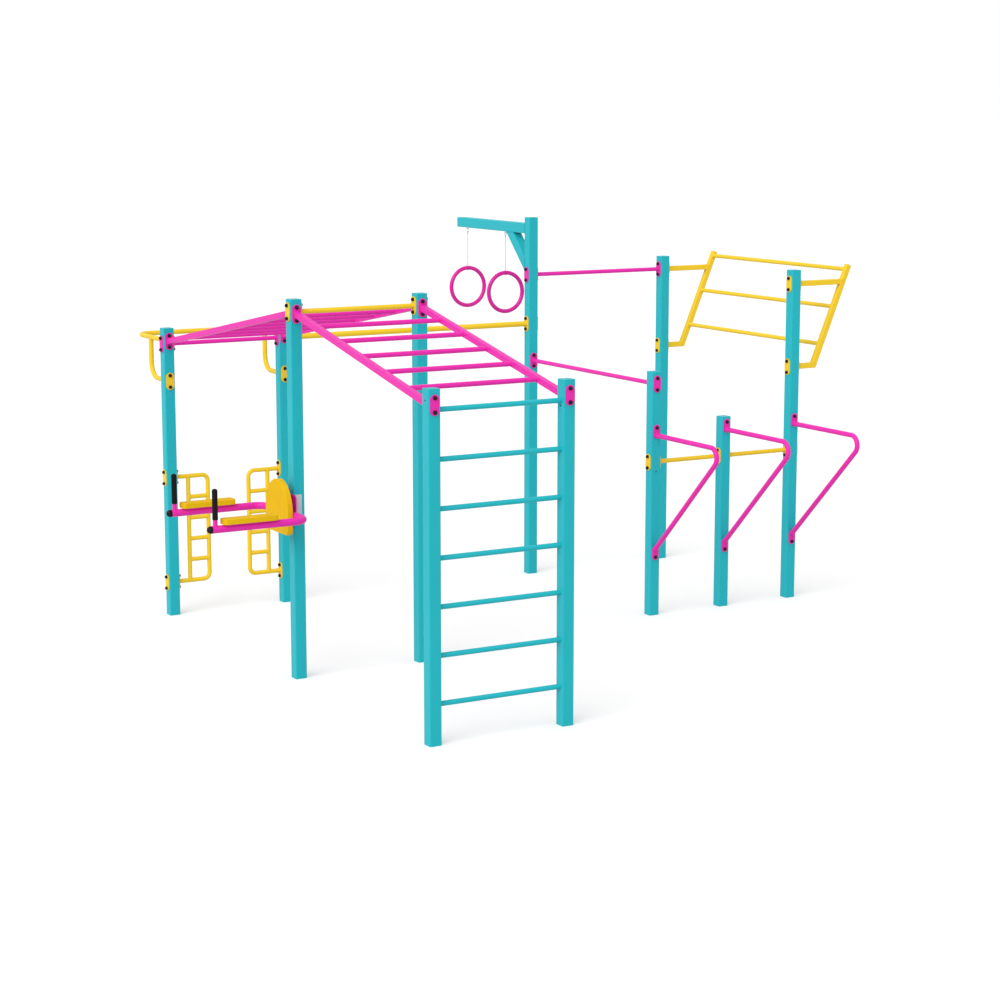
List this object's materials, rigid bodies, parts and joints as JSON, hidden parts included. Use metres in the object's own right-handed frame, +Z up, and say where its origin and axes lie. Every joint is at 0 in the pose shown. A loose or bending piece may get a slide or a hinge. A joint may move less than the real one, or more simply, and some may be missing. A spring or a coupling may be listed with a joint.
{
  "type": "outdoor fitness station",
  "caption": "Steel post frame for outdoor exercise: wall ladder, sloping overhead ladders, pull-up and dip bars, knee-raise seat, inclined ladder and hanging rings.",
  "frame": {"origin": "middle of the ground area that the station covers, at ground level", "axes": "+Z up; +X along the wall rungs towards the dip row and the inclined ladder; +Y from the wall ladder towards the offset bar and the ring arm"},
  "size_m": [5.5898, 5.2432, 2.833],
  "materials": {
    "teal_paint": "smooth satin powder coat",
    "magenta_paint": "smooth satin powder coat",
    "yellow_paint": "smooth satin powder coat",
    "ring_coating": "glossy plastic coating",
    "link_steel": "galvanised",
    "sling_rope": "pale braided rope",
    "pad_yellow": "matt moulded rubber with a fine ripple",
    "grip_rubber": "matt",
    "cap_plastic": "matt"
  },
  "bodies": {
    "station": {"post_wall_left": "teal_paint", "post_wall_right": "teal_paint", "wall_rung_1": "teal_paint", "wall_rung_2": "teal_paint", "wall_rung_3": "teal_paint", "wall_rung_4": "teal_paint", "wall_rung_5": "teal_paint", "wall_rung_6": "teal_paint", "wall_rung_7": "teal_paint", "backplate_wall_left": "magenta_paint", "backplate_wall_right": "magenta_paint", "post_bridge_left": "teal_paint", "post_bridge_right": "teal_paint", "ladder_front": "magenta_paint", "ladder_rear": "magenta_paint", "pullup_bar_middle": "yellow_paint", "backplate_pullup_middle": "yellow_paint", "post_rear_left": "teal_paint", "post_rear_right": "teal_paint", "cross_bar_rear": "magenta_paint", "backplate_cross_bar": "magenta_paint", "pullup_bar_rear": "yellow_paint", "offset_pullup_bar": "yellow_paint", "backplate_offset_left": "yellow_paint", "backplate_offset_right": "yellow_paint", "side_ladder_left": "yellow_paint", "side_ladder_right": "yellow_paint", "ring_gallows": "teal_paint", "high_bar": "magenta_paint", "backplate_high_bar": "magenta_paint", "post_incline_rear": "teal_paint", "inclined_ladder": "yellow_paint", "backplate_incline_rear_low": "yellow_paint", "post_dip_left": "teal_paint", "post_dip_middle": "teal_paint", "post_incline_front": "teal_paint", "dip_bar_left": "magenta_paint", "dip_bar_middle": "magenta_paint", "dip_bar_right": "magenta_paint", "low_bar_left": "yellow_paint", "low_bar_right": "yellow_paint", "side_bar": "magenta_paint", "backplate_side_bar": "magenta_paint", "backplate_incline_front_top": "yellow_paint", "backplate_incline_front_low": "yellow_paint", "knee_frame": "magenta_paint", "knee_clamp": "magenta_paint", "back_pad": "pad_yellow", "arm_pad_front": "pad_yellow", "grip_front": "grip_rubber", "end_cap_front": "cap_plastic", "arm_pad_rear": "pad_yellow", "grip_rear": "grip_rubber", "end_cap_rear": "cap_plastic"},
    "outer_link": {"ring_link_outer": "link_steel"},
    "outer_sling": {"ring_sling_outer": "sling_rope"},
    "outer_ring": {"ring_outer": "ring_coating"},
    "inner_link": {"ring_link_inner": "link_steel"},
    "inner_sling": {"ring_sling_inner": "sling_rope"},
    "inner_ring": {"ring_inner": "ring_coating"}
  },
  "joints": [
    {"name": "outer_link_swing", "type": "hinge", "parent": "station", "child": "outer_link", "pos_m": [1.0314, 2.51365, 2.689], "axis": [0, 1, 0], "range_deg": [-30, 30]},
    {"name": "outer_sling_swing", "type": "hinge", "parent": "outer_link", "child": "outer_sling", "pos_m": [1.0314, 2.51365, 2.66825], "axis": [1, 0, 0], "range_deg": [-45, 45]},
    {"name": "outer_ring_swing", "type": "hinge", "parent": "outer_sling", "child": "outer_ring", "pos_m": [1.0314, 2.51365, 2.3745], "axis": [1, 0, 0], "range_deg": [-20, 20]},
    {"name": "inner_link_swing", "type": "hinge", "parent": "station", "child": "inner_link", "pos_m": [1.0314, 1.89329, 2.689], "axis": [0, 1, 0], "range_deg": [-30, 30]},
    {"name": "inner_sling_swing", "type": "hinge", "parent": "inner_link", "child": "inner_sling", "pos_m": [1.0314, 1.89329, 2.66825], "axis": [1, 0, 0], "range_deg": [-20, 45]},
    {"name": "inner_ring_swing", "type": "hinge", "parent": "inner_sling", "child": "inner_ring", "pos_m": [1.0314, 1.89329, 2.3745], "axis": [1, 0, 0], "range_deg": [-20, 20]}
  ]
}
